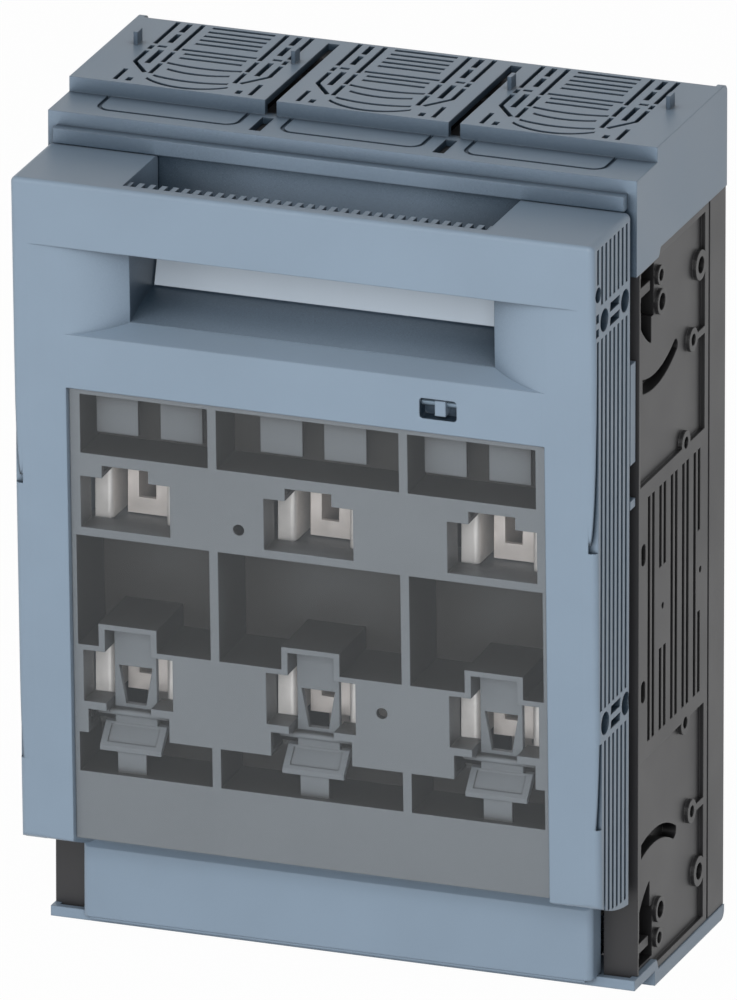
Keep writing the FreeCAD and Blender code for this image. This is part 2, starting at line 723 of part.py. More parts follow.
def make_housing():
    """Housing: block with three chambers, terminal pockets at both ends, and hinge ears."""
    front, back = -s.base_depth, -s.rear_depth
    jog_front = -s.jog_depth - s.jog_run
    low, high = rim_top + s.fit, skirt - s.fit
    front_low, front_high = front_rim_top + s.fit, front_skirt - s.fit
    skin = prism("housing_skin", "yz", [[
        (front, front_low), (jog_front, front_low), (-s.jog_depth, low), (back, low),
        (back, high), (-s.jog_depth, high), (jog_front, front_high), (front, front_high)]],
        -base_half, base_half)
    core = box("housing_core", (-inside_half, inside_half), (front, back),
               (-step + s.cover_wall + s.fit, step - s.cover_wall - s.fit))
    solid = fuse("housing_solid", [skin, core])
    end = step + 1
    tools = []
    slot = s.fit
    for pole in POLES:
        middle = pole * s.pole_pitch
        number = pole + 2
        tools.append(box(f"chamber_{number}", about(middle, s.chamber_width / 2),
                         (front - 1, -s.chamber_back), about(0, s.chamber_height / 2)))
        for word, up in (("low", -1), ("high", 1)):
            reach = (s.terminal_start, end) if up > 0 else (-end, -s.terminal_start)
            tools.append(box(f"terminal_pocket_{number}_{word}",
                             about(middle, s.terminal_width / 2),
                             (front - 1, -s.chamber_back), reach))
            wall = ((s.chamber_height / 2 - 1, s.terminal_start + 1) if up > 0
                    else (-s.terminal_start - 1, -s.chamber_height / 2 + 1))
            tools.append(box(f"bar_slot_{number}_{word}",
                             about(middle, k.bar_width / 2 + slot),
                             (-k.bar_front - slot, -k.bar_front + k.bar_thick + slot), wall))
    for name, x, z in mount_points():
        tools.append(rod(f"mount_well_{name}", "y", front - 1, back + 1, s.mount_well / 2,
                         (x, z), 24))
    open_housing = cut("housing_open", solid, tools)

    # Posts that carry the terminal bars
    posts = []
    bar_back = -k.bar_front + k.bar_thick
    for pole in POLES:
        middle = pole * s.pole_pitch
        for word, up in (("low", -1), ("high", 1)):
            near = about(screw_at(up), 14)
            far = about(up * k.bolt_height, 12)
            posts.append(box(f"post_{pole + 2}_{word}", about(middle, 14),
                             (bar_back, -s.chamber_back + 1), near))
            posts.append(box(f"terminal_post_{pole + 2}_{word}", about(middle, 12),
                             (bar_back, -s.chamber_back + 1), far))
    # Hinge ears
    for word, sign in SIDES:
        reach = (h.ear_low, h.ear_high) if sign > 0 else (-h.ear_high, -h.ear_low)
        posts.append(box(f"ear_arm_{word}", reach, (-h.hinge_depth, front + 1),
                         about(-h.hinge_drop, h.ear_radius)))
        posts.append(rod(f"ear_end_{word}", "x", *reach, h.ear_radius,
                         (-h.hinge_depth, -h.hinge_drop)))
    built = fuse("housing_built", [open_housing] + posts)

    holes = []
    right = side_tools()
    upper = fuse("side_upper", right)
    lower = mirror("side_lower", upper, "z", side_middle)
    one_side = fuse("side_all", [upper, lower] + middle_slots())
    holes += [one_side, mirror("side_all_left", one_side, "x")]
    for word, sign in SIDES:
        reach = (h.ear_low - 1, h.ear_high + 1) if sign > 0 else (-h.ear_high - 1, -h.ear_low + 1)
        holes.append(rod(f"ear_bore_{word}", "x", *reach, h.pin_radius,
                         (-h.hinge_depth, -h.hinge_drop)))
        holes.append(box(f"housing_seam_{word}", about(sign * base_half, s.seam_depth),
                         (back - s.seam_width / 2, back + 1), (low - 1, high + 1)))
    for name, x, z in housing_screw_points():
        holes.append(rod(f"housing_screw_hole_{name}", "y", back - 14, back + 1,
                         k.housing_screw, (x, z), 12))
    for pole in POLES:
        middle = pole * s.pole_pitch
        for word, up in (("low", -1), ("high", 1)):
            holes.append(rod(f"contact_screw_hole_{pole + 2}_{word}", "y", bar_back - 1,
                             bar_back + 14, k.screw_radius, (middle, screw_at(up)), 12))
            holes.append(rod(f"bolt_hole_{pole + 2}_{word}", "y", bar_back - 1, bar_back + 16,
                             k.bolt_radius, (middle, up * k.bolt_height), 16))
    keep("base_housing", cut("housing", built, holes))


# Contacts, clips and terminals

def screw_at(up):
    """Height of the screw that holds an upper (1) or a lower (-1) terminal bar."""
    return k.screw_upper if up > 0 else -k.screw_lower


def make_contacts():
    gap, sheet_thick = k.jaw_gap / 2, k.jaw_sheet
    lip = gap + k.jaw_lip
    outer = gap + sheet_thick
    front, lip_back = -k.jaw_front, -k.jaw_front + 1.8
    back = -k.bar_front
    for pole in POLES:
        middle = pole * s.pole_pitch
        for word, up, low in (("upper", 1, k.upper_low), ("lower", -1, -k.lower_low)):
            name = f"{word}_contact_{pole + 2}"
            jaw = prism(name + "_jaw", "xy", [[
                (middle - lip, front), (middle - gap, front), (middle - gap, back - sheet_thick),
                (middle + gap, back - sheet_thick), (middle + gap, front), (middle + lip, front),
                (middle + lip, lip_back), (middle + outer, lip_back), (middle + outer, back),
                (middle - outer, back), (middle - outer, lip_back), (middle - lip, lip_back)]],
                low, low + k.jaw_height)
            bridge = box(name + "_bridge", about(middle, lip), (front, lip_back),
                         (low, low + k.jaw_bridge))
            start = low - 4 if up > 0 else low + k.jaw_height + 4
            reach = (start, k.bar_end) if up > 0 else (-k.bar_end, start)
            bar = box(name + "_bar", about(middle, k.bar_width / 2), (back, back + k.bar_thick),
                      reach)
            solid = fuse(name + "_solid", [jaw, bridge, bar])
            holes = [rod(name + "_bolt_hole", "y", back - 1, back + k.bar_thick + 1,
                         k.bolt_radius + s.fit, (middle, up * k.bolt_height), 16),
                     rod(name + "_screw_hole", "y", back - 1, back + k.bar_thick + 1,
                         k.screw_radius + s.fit, (middle, screw_at(up)), 12)]
            keep(name, cut(name, solid, holes))


def make_clips():
    """Two spring cheeks beside each jaw, with rounded lips at the front and feet on the bar."""
    inner, outer, thick = k.clip_inner, k.clip_outer, k.clip_sheet
    front, foot = -k.clip_front, -k.bar_front
    turn = thick + 0.6
    for pole in POLES:
        middle = pole * s.pole_pitch
        for word, low in (("upper", k.upper_low), ("lower", -k.lower_low)):
            name = f"{word}_clip_{pole + 2}"
            loops = []
            for sign in (-1, 1):
                points = [(outer, front), (inner + turn, front, -sign * turn),
                          (inner, front + turn), (inner, foot), (inner + 2.6, foot),
                          (inner + 2.6, foot - thick), (inner + thick, foot - thick),
                          (inner + thick, front + thick), (outer, front + thick)]
                loops.append([(middle + sign * corner[0], corner[1], *corner[2:])
                              for corner in points])
            keep(name, prism(name, "xy", loops, low, low + k.clip_height))


def make_terminals():
    bolts, washers, screws = [], [], []
    face = -k.bar_front
    for pole in POLES:
        middle = pole * s.pole_pitch
        for word, up in (("low", -1), ("high", 1)):
            place = f"{pole + 2}_{word}"
            at = (middle, up * k.bolt_height)
            head = doc.addObject("Part::Prism", f"bolt_head_{place}")
            head.Polygon = 6
            head.Placement = Placement(Vector(), TURNS["y"])
            bind(head, "Circumradius", k.bolt_head)
            bind(head, "Height", k.head_height)
            for axis, spot in zip("xyz", (at[0], face - k.washer_thick - k.head_height, at[1])):
                bind(head, f"Placement.Base.{axis}", spot)
            shank = rod(f"bolt_shank_{place}", "y", face - k.washer_thick,
                        face + k.bar_thick + 14, k.bolt_radius, at, 16)
            bolts.append(fuse(f"bolt_{place}", [head, shank]))
            ring = rod(f"washer_disc_{place}", "y", face - k.washer_thick, face,
                       k.washer_radius, at, 24)
            bore = rod(f"washer_bore_{place}", "y", face - k.washer_thick - 1, face + 1,
                       k.bolt_radius + s.fit, at, 16)
            washers.append(cut(f"washer_{place}", ring, [bore]))
            at = (middle, screw_at(up))
            cap = rod(f"contact_screw_head_{place}", "y", face - k.screw_head_height, face,
                      k.screw_head, at, 16)
            stem = rod(f"contact_screw_stem_{place}", "y", face, face + k.bar_thick + 12,
                       k.screw_radius, at, 12)
            slot = box(f"contact_screw_slot_{place}", about(middle, k.screw_head + 1),
                       (face - k.screw_head_height - 1, face - k.screw_head_height + 1.2),
                       about(screw_at(up), 0.6))
            screws.append(cut(f"contact_screw_{place}", fuse(f"contact_screw_full_{place}",
                                                             [cap, stem]), [slot]))
    for name, items in (("terminal_bolts", bolts), ("terminal_washers", washers),
                        ("contact_screws", screws)):
        keep(name, group(name, items))


def group(name, items):
    compound = doc.addObject("Part::Compound", name)
    compound.Links = items
    return compound


def make_arc_plates():
    """A stack of notched steel plates in front of each upper terminal bar."""
    wide = s.chamber_width / 2 - 0.2
    front = -k.bar_front - 2 - k.plate_depth
    for pole in POLES:
        middle = pole * s.pole_pitch
        name = f"arc_plates_{pole + 2}"
        plate = prism(name, "xy", [[
            (middle - wide, front), (middle - k.plate_notch, front),
            (middle, front + k.plate_depth * 0.6), (middle + k.plate_notch, front),
            (middle + wide, front), (middle + wide, front + k.plate_depth),
            (middle - wide, front + k.plate_depth)]],
            k.plate_first, k.plate_first + k.plate_thick)
        count = int(k.plate_count.value)
        keep(name, repeat(plate, "Z", k.plate_pitch * (count - 1), count))


def make_housing_screws():
    screws = []
    for name, x, z in housing_screw_points():
        head = rod(f"housing_screw_head_{name}", "y", -s.back_plate, -1, k.housing_screw_head,
                   (x, z), 16)
        stem = rod(f"housing_screw_stem_{name}", "y", -s.rear_depth - 12, -s.back_plate,
                   k.housing_screw, (x, z), 12)
        slots = [box(f"housing_screw_slot_{name}", about(x, k.housing_screw_head * 0.7),
                     (-1.9, 0), about(z, 0.5)),
                 box(f"housing_screw_cross_{name}", about(x, 0.5), (-1.9, 0),
                     about(z, k.housing_screw_head * 0.7))]
        screws.append(cut(f"housing_screw_{name}", fuse(f"housing_screw_full_{name}",
                                                        [head, stem]), slots))
    keep("housing_screws", group("housing_screws", screws))


def make_hinge_pins():
    for word, sign in SIDES:
        reach = (h.ear_low - 4.2, h.ear_high + 2.4)
        if sign < 0:
            reach = (-reach[1], -reach[0])
        keep(f"hinge_pin_{word}", rod(f"hinge_pin_{word}", "x", *reach, h.pin_radius,
                                      (-h.hinge_depth, -h.hinge_drop)))


# Handle unit

lean_slope = slope_of(h.lean)
handle_half = h.width / 2


def front_at(height, depth=0):
    """The y of the handle's front plane at a height, or of a plane behind it."""
    return -h.front - lean_slope * height + depth


def handle_side_cuts():
    """Grooves and the two bands of recesses in the right side of the handle."""
    face = handle_half
    inner = face - h.groove_depth
    tools = []
    for number in range(8):
        place = -h.groove_first - number * h.groove_pitch
        across = about(place, h.groove_width / 2)
        low_end = -h.heel + 3.2 + (number / 7.0) ** 2 * 6.0
        stretches = [("high", 111.3, 131.8), ("mid", -33.4, 99.2), ("low", low_end, -45.2)]
        if number == 7:
            stretches = [("high", 119.4, 131.8), ("mid", 24.0, 99.2)]
        if number == 6:
            stretches[2] = ("low", -76.0, -45.2)
        for word, low, high in stretches:
            tools.append(box(f"groove_{number + 1}_{word}", (inner, face + 1), across,
                             (low, high)))
    for level, height, shift in (("high", 105.0, 0.0), ("low", -39.0, 1.8)):
        for word, y in (("front", -118.8), ("back", -98.4)):
            tools.append(rod(f"band_disc_{level}_{word}", "x", inner, face + 1, 4.0,
                             (y + shift, height), 20))
        for word, low, high in (("upper", 1.0, 4.0), ("lower", -4.0, -1.2)):
            tools.append(prism(f"band_slot_{level}_{word}", "yz", [[
                (-113.4 + shift, height + low), (-104.2 + shift, height + low),
                (-103.6 + shift, height + high), (-112.8 + shift, height + high)]],
                inner, face + 1))
    for word, low, high in (("upper", 106.0, 109.0), ("lower", 101.0, 103.8)):
        tools.append(box(f"band_square_{word}", (inner, face + 1), (-126.8, -124.2),
                         (low, high)))
    tools.append(rod("band_disc_top", "x", inner, face + 1, 2.7, (-124.9, 115.8), 16))
    return fuse("handle_side_right", tools)


def make_handle():
    """Handle frame: grip bar, two columns and a frame bar over the window, open behind."""
    base_y = -h.back
    block = prism("handle_block", "yz", [[
        (base_y, -h.heel), (base_y, h.top - 2, 2), (base_y - 2, h.top),
        (front_at(h.top) + 1.5, h.top, 1.5), (front_at(h.top - 1.5), h.top - 1.5),
        (front_at(-h.foot), -h.foot, h.foot_round)]], -handle_half, handle_half)

    def upright_front(middle, edge):
        along = edge.Length > h.top.value
        return along and middle.y < -h.back.value - 10

    block = rounded("handle_rounded", block, h.edge_round, upright_front)

    # Face of the columns and the window field, and the deeper face beside the grip
    end, flat, dip = h.column_end, h.column_flat, h.column_dip
    face = leaning(prism("handle_face_cut", "xy", [[
        (-end, -3), (end, -3), (end, 0), (flat, dip), (h.face_half, h.face_depth),
        (-h.face_half, h.face_depth), (-flat, dip), (-end, 0)]], -h.heel - 12, h.bar_low))
    grip = leaning(prism("handle_grip_cut", "xy", [[
        (-end, -3), (end, -3), (end, 0), (flat, dip, -h.column_round),
        (h.grip_half, h.grip_depth), (-h.grip_half, h.grip_depth, -h.column_round),
        (-flat, dip), (-end, 0)]], h.grip_low, h.bar_low))
    lip_y = front_at(h.grip_low, h.face_depth)
    pocket = prism("handle_pocket_cut", "yz", [[
        (lip_y - 12, h.grip_low), (lip_y, h.grip_low, -h.scoop_round),
        (-h.scoop_back, h.scoop_top), (-h.wall_back, h.wall_top), (-h.back + 5, h.wall_top),
        (-h.back + 5, h.top + 5), (-h.bar_back, h.top + 5), (-h.bar_back, h.bar_low),
        (lip_y - 12, h.bar_low)]], -h.grip_half, h.grip_half)

    # Hollow behind the frame bar and the window opening
    bar_back = front_at(h.frame_low, h.face_depth + h.frame_wall)
    under = h.grip_low - h.wall
    hollow = prism("handle_centre_cut", "yz", [[
        (-150, -h.heel - 12), (-h.back + 5, -h.heel - 12), (-h.back + 5, h.scoop_top - h.wall),
        (-h.scoop_back, h.scoop_top - h.wall, h.scoop_round - h.wall), (bar_back, under),
        (bar_back, h.frame_low), (-150, h.frame_low)]], -h.opening_half, h.opening_half)
    tools = [face, grip, pocket, hollow]
    column_inner = h.opening_half + h.wall
    column_outer = handle_half - h.side_wall
    for word, sign in SIDES:
        low_x, high_x = sorted_pair(sign, column_inner, column_outer)
        tools.append(leaning(box(f"column_hollow_{word}", (low_x, high_x),
                                 (h.column_wall, h.hollow_reach),
                                 (-h.heel + h.wall + 0.5, h.grip_low))))
        low_x, high_x = sorted_pair(sign, h.grip_half + h.wall, column_outer)
        tools.append(box(f"shoulder_hollow_{word}", (low_x, high_x),
                         (-h.hollow_front, -h.back + 5), (h.grip_low - 3, h.top - h.wall)))
        low_x, high_x = sorted_pair(sign, h.ear_low - h.ear_room, h.ear_high + h.ear_room)
        tools.append(box(f"ear_notch_{word}", (low_x, high_x), (-h.hinge_depth - 10, -h.back + 5),
                         (-h.heel - 5, -h.heel + h.wall + 3)))
    shell = cut("handle_shell", block, tools)

    extras = []
    count = 33
    first = -h.rib_pitch * (count - 1) / 2
    ribs = prism("grip_ribs", "xy", [rectangle(about(first, h.rib_width / 2),
                 (-h.bar_back - 0.5, -h.bar_back + h.rib_depth))], h.bar_low + 1, h.top - 1)
    extras.append(repeat(ribs, "X", h.rib_pitch * (count - 1), count))
    for word, sign in SIDES:
        reach = sorted_pair(sign, column_outer - 2, handle_half)
        for place, low, high in (("long", 44.3, 80.0), ("short", 28.4, 31.4)):
            extras.append(box(f"lug_{place}_{word}", reach, (-h.back - 1, -h.back + h.lug_depth),
                              (low, high)))
        around = about(-h.hinge_drop, h.ear_radius)
        for place, low, high in (("inner", column_inner - 0.5, h.ear_low - h.ear_room),
                                 ("outer", h.ear_high + h.ear_room, column_outer + 0.5)):
            rib = box(f"hinge_rib_{place}_{word}", sorted_pair(sign, low, high),
                      (-h.hollow_front - 1, -h.hinge_depth + 4), (around[0] + 0.3, around[1]))
            extras.append(common(f"hinge_rib_trimmed_{place}_{word}", rib, block))
    # Box round the lock recess, behind the frame bar
    lock_box = leaning(box("lock_box", (39.4, 55.8), (h.face_depth + 0.2, 8.2), (63.4, 73.9)))
    extras.append(lock_box)
    built = fuse("handle_built", [shell] + extras)

    right = handle_side_cuts()
    holes = [right, mirror("handle_side_left", right, "x")]
    for word, sign in SIDES:
        reach = sorted_pair(sign, h.ear_low - 4.4, h.ear_high + 2.6)
        holes.append(rod(f"handle_bore_{word}", "x", *reach, h.pin_radius + h.pin_clearance,
                         (-h.hinge_depth, -h.hinge_drop)))
    turn = 1.2
    left, right_end, low, high = 41.0, 54.2, 65.0, 72.3
    recess = leaning(prism("lock_recess", "xz", [[
        (left + turn, low), (right_end - turn, low, turn), (right_end, low + turn),
        (right_end, high - turn, turn), (right_end - turn, high), (left + turn, high, turn),
        (left, high - turn), (left, low + turn, turn)]], -3, 6.4))
    holes.append(recess)
    for word, sign in SIDES:
        for number, height in ((1, -60.0), (2, 30.0)):
            reach = sorted_pair(sign, h.opening_half - 1, column_inner + 1)
            holes.append(leaning(rod(f"carrier_hole_{word}_{number}", "x", *reach, 1.75 + s.fit,
                                     (9.5, height), 12)))
    keep("handle_frame", cut("handle", built, holes))


def sorted_pair(sign, low, high):
    """The span from low to high on the right, or its mirror image on the left."""
    return (as_size(low), as_size(high)) if sign > 0 else (-as_size(high), -as_size(low))


def make_window():
    wide = h.opening_half - h.glass_gap
    front = h.face_depth
    pane = box("window_pane", about(0, wide), (front, front + h.glass - h.glass_gap),
               (-c.foot + 0.5, h.frame_low - h.glass_gap))
    foot = box("window_foot", about(0, wide), (front - 0.6, front + h.glass - h.glass_gap),
               (-c.foot + 0.5, -c.foot + 2.6))
    keep("inspection_window", leaning(fuse("window", [pane, foot])))


def make_carrier():
    """Fuse carrier: plate behind the pane with closed pockets, rims round the contacts, shelves."""
    front = h.face_depth + h.glass
    back = front + c.plate
    deep = front + c.rim_depth
    contact_deep = front + c.contact_rim_depth
    plate = box("carrier_plate", about(0, c.half), (front, back), (-c.foot, c.top))
    solids = [plate]
    for word, sign in SIDES:
        solids.append(box(f"carrier_wall_{word}", sorted_pair(sign, c.half - c.rim, c.half),
                          (front, deep), (-c.foot, c.top)))
    solids.append(box("carrier_floor", about(0, c.half), (front, deep), (-c.foot, -c.foot + 2)))
    solids.append(box("carrier_roof", about(0, c.half), (front, deep), (c.top - 2, c.top)))

    edge = c.half - c.rim
    inner = s.pole_pitch / 2 + 2.95
    spans = {-1: (-edge, -inner), 0: (-inner + c.post, inner - c.post), 1: (inner, edge)}
    bay_back = front + c.bay_depth + c.pocket_wall
    openings, shades, humps, contact_cuts, late = [], [], [], [], []
    for pole in POLES:
        middle = pole * s.pole_pitch
        number = pole + 2
        span = spans[pole]
        view = (span[0] + (2.0 if pole < 0 else 0), span[1] - (2.0 if pole > 0 else 0))
        for word, across, low, high, depth, roof in (
                ("view", view, c.view_low, c.top - 2, c.view_depth, 2.0),
                ("bay", span, -c.bay_low, c.bay_high, c.bay_depth, c.pocket_roof),
                ("base", span, -c.base_low, -c.base_high, c.base_depth, c.rim)):
            name = f"carrier_{word}_{number}"
            solids.append(box(name + "_walls", (across[0] - c.rim, across[1] + c.rim),
                              (front, front + depth + c.pocket_wall), (low - c.rim, high + roof)))
            openings.append(box(name, across, (front - 1, front + depth), (low, high)))
        for word, low, high in (("upper", c.upper_low, c.upper_high),
                                ("lower", -c.lower_low, -c.lower_high)):
            name = f"carrier_{word}_{number}"
            solids.append(box(name + "_rim", about(middle, c.contact_half + c.rim),
                              (front, contact_deep), (low - c.rim, high + c.rim)))
            contact_cuts.append(box(name, about(middle, c.contact_half),
                                    (front - 1, contact_deep + 1), (low, high)))
        # Hump over the lower contact, open inside, and notch over the upper one
        humps.append(box(f"hump_{number}", about(middle, c.hump_half), (front, bay_back),
                         (-c.bay_low - c.rim, -c.hump_high)))
        contact_cuts.append(box(f"hump_inside_{number}", about(middle, c.hump_half - 2.2),
                                (front - 1, bay_back + 1),
                                (-c.lower_high - 1, -c.hump_high - 1.9)))
        contact_cuts.append(box(f"notch_{number}", about(middle, c.notch_half),
                                (front - 1, contact_deep + 1),
                                (c.upper_high - 1, c.notch_high)))
        # Gap round the finger tab, and the step down to its shelf
        contact_cuts.append(box(f"tab_gap_{number}", about(middle, c.gap_half),
                                (front - 1, deep + 1), (-c.base_high - 2, -c.gap_top)))
        contact_cuts.append(box(f"tab_step_{number}", about(middle, c.release_half + 0.5),
                                (front - 1, deep + 1), (-c.gap_top - 1, -c.lower_low + 1)))
        shelf_low, shelf_high = -c.shelf_top - c.shelf_thick, -c.shelf_top
        nose = front + 4.0 + c.shelf_thick / 2
        shelf = fuse(f"shelf_full_{number}", [
            box(f"shelf_{number}", about(middle, c.shelf_half), (nose, deep),
                (shelf_low, shelf_high)),
            rod(f"shelf_nose_{number}", "x", *about(middle, c.shelf_half), c.shelf_thick / 2,
                (nose, (shelf_low + shelf_high) / 2)),
            box(f"shelf_web_left_{number}", (middle - c.shelf_half, middle - c.release_half - 0.5),
                (back, deep), (shelf_high - 0.5, -c.lower_low - 0.5)),
            box(f"shelf_web_right_{number}", (middle + c.release_half + 0.5,
                                              middle + c.shelf_half),
                (back, deep), (shelf_high - 0.5, -c.lower_low - 0.5))])
        late.append(cut(f"shelf_slotted_{number}", shelf, [
            box(f"shelf_slot_{number}", about(middle, c.release_half + c.slide),
                about(release_back - 1, 1 + c.slide), (shelf_low - 1, shelf_high + 3))]))
        late.append(box(f"stem_{number}", about(middle, c.stem_half), (stem_front, back + 1.6),
                        (-c.base_low - 1, -c.stem_top)))
        # Shades in the upper openings
        for place, low, high in shade_spans(pole):
            shades.append(box(f"shade_{number}_{place}", (low, high), (front + 6.0, front + 7.5),
                              (42.2, c.top - 1)))
    opened = cut("carrier_opened", fuse("carrier_solid", solids), openings)
    humped = cut("carrier_humped", fuse("carrier_with_humps", [opened] + humps), contact_cuts)
    full = fuse("carrier_full", [humped] + late + shades)
    holes = []
    for name, x, z in (("left", -25.0, 15.3), ("right", 25.4, -44.7)):
        holes.append(rod(f"carrier_eye_{name}", "y", front - 1, back + 1, 2.0, (x, z), 16))
    for word, sign in SIDES:
        for number, height in ((1, -60.0), (2, 30.0)):
            reach = sorted_pair(sign, c.half - c.rim - 1, c.half + 1)
            holes.append(rod(f"carrier_screw_hole_{word}_{number}", "x", *reach, 1.75,
                             (9.5, height), 12))
    keep("fuse_carrier", leaning(cut("carrier", full, holes)))


release_back = h.face_depth + h.glass + 9.2
stem_front = h.face_depth + h.glass + 2.6


def shade_spans(pole):
    """Name and span of the two shades of a pole; all three poles together are symmetrical."""
    if pole == 0:
        return (("left", -18.9, -3.9), ("right", 3.9, 18.9))
    near, far = (39.7, 54.6), (62.7, 77.5)
    if pole > 0:
        return (("near", *near), ("far", *far))
    return (("near", -near[1], -near[0]), ("far", -far[1], -far[0]))


def make_releases():
    """Finger tab with its latch frame: a sliding plate behind the shelf, bent forward below."""
    back = release_back
    face = back - 2
    tab_front = stem_front - 0.4 - 1.2
    neck = -c.shelf_top - c.shelf_thick - 3.4
    nose = -c.stem_top + 2.3
    for pole in POLES:
        middle = pole * s.pole_pitch
        name = f"fuse_release_{pole + 2}"
        plate = box(name + "_plate", about(middle, c.release_half), (face, back),
                    (neck - 1, -c.hump_high - 2.5))
        window = prism(name + "_window", "xz", [[
            (middle - 3.6, -c.lower_low - 2.2), (middle + 3.6, -c.lower_low - 2.2),
            (middle + 6.0, -c.lower_high - 7), (middle - 6.0, -c.lower_high - 7)]],
            face - 1, back + 1)
        tab = prism(name + "_tab", "yz", [[
            (back, neck), (face, neck), (tab_front, nose), (tab_front, nose - 1.6),
            (tab_front + 1.2, nose - 1.6), (tab_front + 1.2, nose - 0.9), (back, neck - 1.9)]],
            middle - c.tab_half, middle + c.tab_half)
        run = face - tab_front
        drop = neck - nose
        dish = prism(name + "_dish", "yz", [[
            (face - run * 0.06, neck - drop * 0.06 + 3), (face - run * 0.06, neck - drop * 0.06 - 0.5),
            (face - run * 0.8, neck - drop * 0.8 - 0.5), (face - run * 0.8, neck - drop * 0.8 + 3)]],
            middle - c.tab_half + 2.3, middle + c.tab_half - 2.3)
        piece = cut(name, fuse(name + "_full", [plate, tab]), [window, dish])
        keep(name, leaning(piece))


def make_small_handle_pieces():
    run, rise = h.scoop_back - h.wall_back, h.wall_top - h.scoop_top
    thick = 0.8
    label = prism("label", "yz", [[
        (-h.scoop_back + run * 0.02 - 0.05, h.scoop_top + rise * 0.02),
        (-h.scoop_back + run * 0.9 - 0.05, h.scoop_top + rise * 0.9),
        (-h.scoop_back + run * 0.9 - thick, h.scoop_top + rise * 0.9 + 0.2),
        (-h.scoop_back + run * 0.02 - thick, h.scoop_top + rise * 0.02 + 0.3)]],
        -h.grip_half + 0.5, h.grip_half - 0.5)
    keep("label_plate", label)
    keep("lock_rod", leaning(rod("lock_rod_bar", "x", 41.05, 54.15, 1.2, (4.6, 69.9))))
    knob = cut("lock_knob", box("lock_block", (46.3, 50.1), (1.8, 6.2), (66.2, 71.6)),
               [rod("lock_knob_bore", "x", 45, 52, 1.25, (4.6, 69.9))])
    keep("lock_slide", leaning(knob))
    screws = []
    for word, sign in SIDES:
        for number, height in ((1, -60.0), (2, 30.0)):
            name = f"carrier_screw_{word}_{number}"
            stem = rod(name + "_stem", "x", *sorted_pair(sign, c.half - 4,
                       h.opening_half + h.wall), 1.75, (9.5, height), 12)
            head = rod(name + "_head", "x", *sorted_pair(sign, h.opening_half + h.wall,
                       h.opening_half + h.wall + 2.2), 3.2, (9.5, height), 16)
            screws.append(fuse(name, [stem, head]))
    keep("carrier_screws", leaning(group("carrier_screws", screws)))


make_top_cover()
make_bottom_cover()
make_rear_frame()
make_housing()
make_contacts()
make_clips()
make_terminals()
make_arc_plates()
make_housing_screws()
make_hinge_pins()
make_handle()
make_window()
make_carrier()
make_releases()
make_small_handle_pieces()
doc.recompute()

for item in doc.Objects:
    if "Invalid" in item.State or "Error" in item.State:
        raise RuntimeError(f"{item.Label} was not built: {item.State}")
for item in parts:
    if item.Shape.isNull() or not item.Shape.isValid():
        raise RuntimeError(f"{item.Label} has no valid shape")
for item in parts:
    item.Shape.exportStep(f"parts/{item.Label}.step")
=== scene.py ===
import math

import bpy
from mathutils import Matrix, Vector


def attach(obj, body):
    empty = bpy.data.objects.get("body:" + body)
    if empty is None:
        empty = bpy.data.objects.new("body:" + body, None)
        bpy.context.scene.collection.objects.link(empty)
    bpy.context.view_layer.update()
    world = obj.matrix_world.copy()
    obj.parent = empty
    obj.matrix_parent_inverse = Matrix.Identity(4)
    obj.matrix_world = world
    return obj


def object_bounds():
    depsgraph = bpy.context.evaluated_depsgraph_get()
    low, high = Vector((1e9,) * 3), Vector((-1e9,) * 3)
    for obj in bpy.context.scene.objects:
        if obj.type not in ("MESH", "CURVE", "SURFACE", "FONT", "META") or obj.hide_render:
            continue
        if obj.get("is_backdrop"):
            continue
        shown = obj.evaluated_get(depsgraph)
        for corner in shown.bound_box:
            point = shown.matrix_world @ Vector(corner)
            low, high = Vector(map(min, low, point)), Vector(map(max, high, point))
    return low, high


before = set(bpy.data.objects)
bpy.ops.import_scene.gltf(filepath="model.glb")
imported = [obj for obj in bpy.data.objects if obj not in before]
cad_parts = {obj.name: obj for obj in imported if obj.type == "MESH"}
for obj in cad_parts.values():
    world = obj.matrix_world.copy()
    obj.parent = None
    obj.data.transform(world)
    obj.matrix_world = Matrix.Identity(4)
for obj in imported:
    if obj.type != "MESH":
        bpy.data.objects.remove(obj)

bl_info = {
    "name": "Fuse switch disconnector",
    "version": (1, 0, 0),
    "blender": (4, 5, 0),
    "location": "View3D > Sidebar > Switchgear",
    "description": "Finishes and light for a three-pole fuse switch disconnector",
    "category": "Object",
}

MM = 0.001

# The scoop behind the frame bar, in millimetres: depth and height at its front and its back
SCOOP_FRONT = (-126.6, 79.32)
SCOOP_BACK = (-96.0, 89.0)
SCOOP_BULGE = 1.75              # rise in its middle over the straight line between the two
SCOOP_HALF = 88.0               # half of its width

# The front edge of the scoop, modelled here because the solid has a narrow slit in it
EDGE_BACK = -118.3              # depth at which it ends
EDGE_FOOT = 0.4                 # how far it reaches below the front of the scoop
EDGE_STEPS = 8
EDGE_SMOOTHING = math.radians(20)
TOUCH = 0.01                    # how near a vertex is to a place that it counts for

# Grain, clouds and painted shade of a moulding
CLOUD_SCALE = 28
CLOUD_CONTRAST = 3.3
CLOUD_FLOOR = 0.35
FLOW_SCALE = 6
FLOW_STRETCH = (1, 1, 0.35)
SPECK_SCALE = 2600
SPECK_LIMIT = 0.66
SPECK_STRENGTH = 0.10
SPECK_TONE = 0.8
GRAIN_SCALE = 3600
GRAIN_HEIGHT = 0.0001
MOULDING_SHADE = 0.1            # colour of the painted shade in narrow places, as a share of the colour
MOULDING_ROUGHNESS_SPREAD = 0.16
FULLY_OPEN = 0.9                # free share of the sky from which a face has no painted shade and keeps its full colour
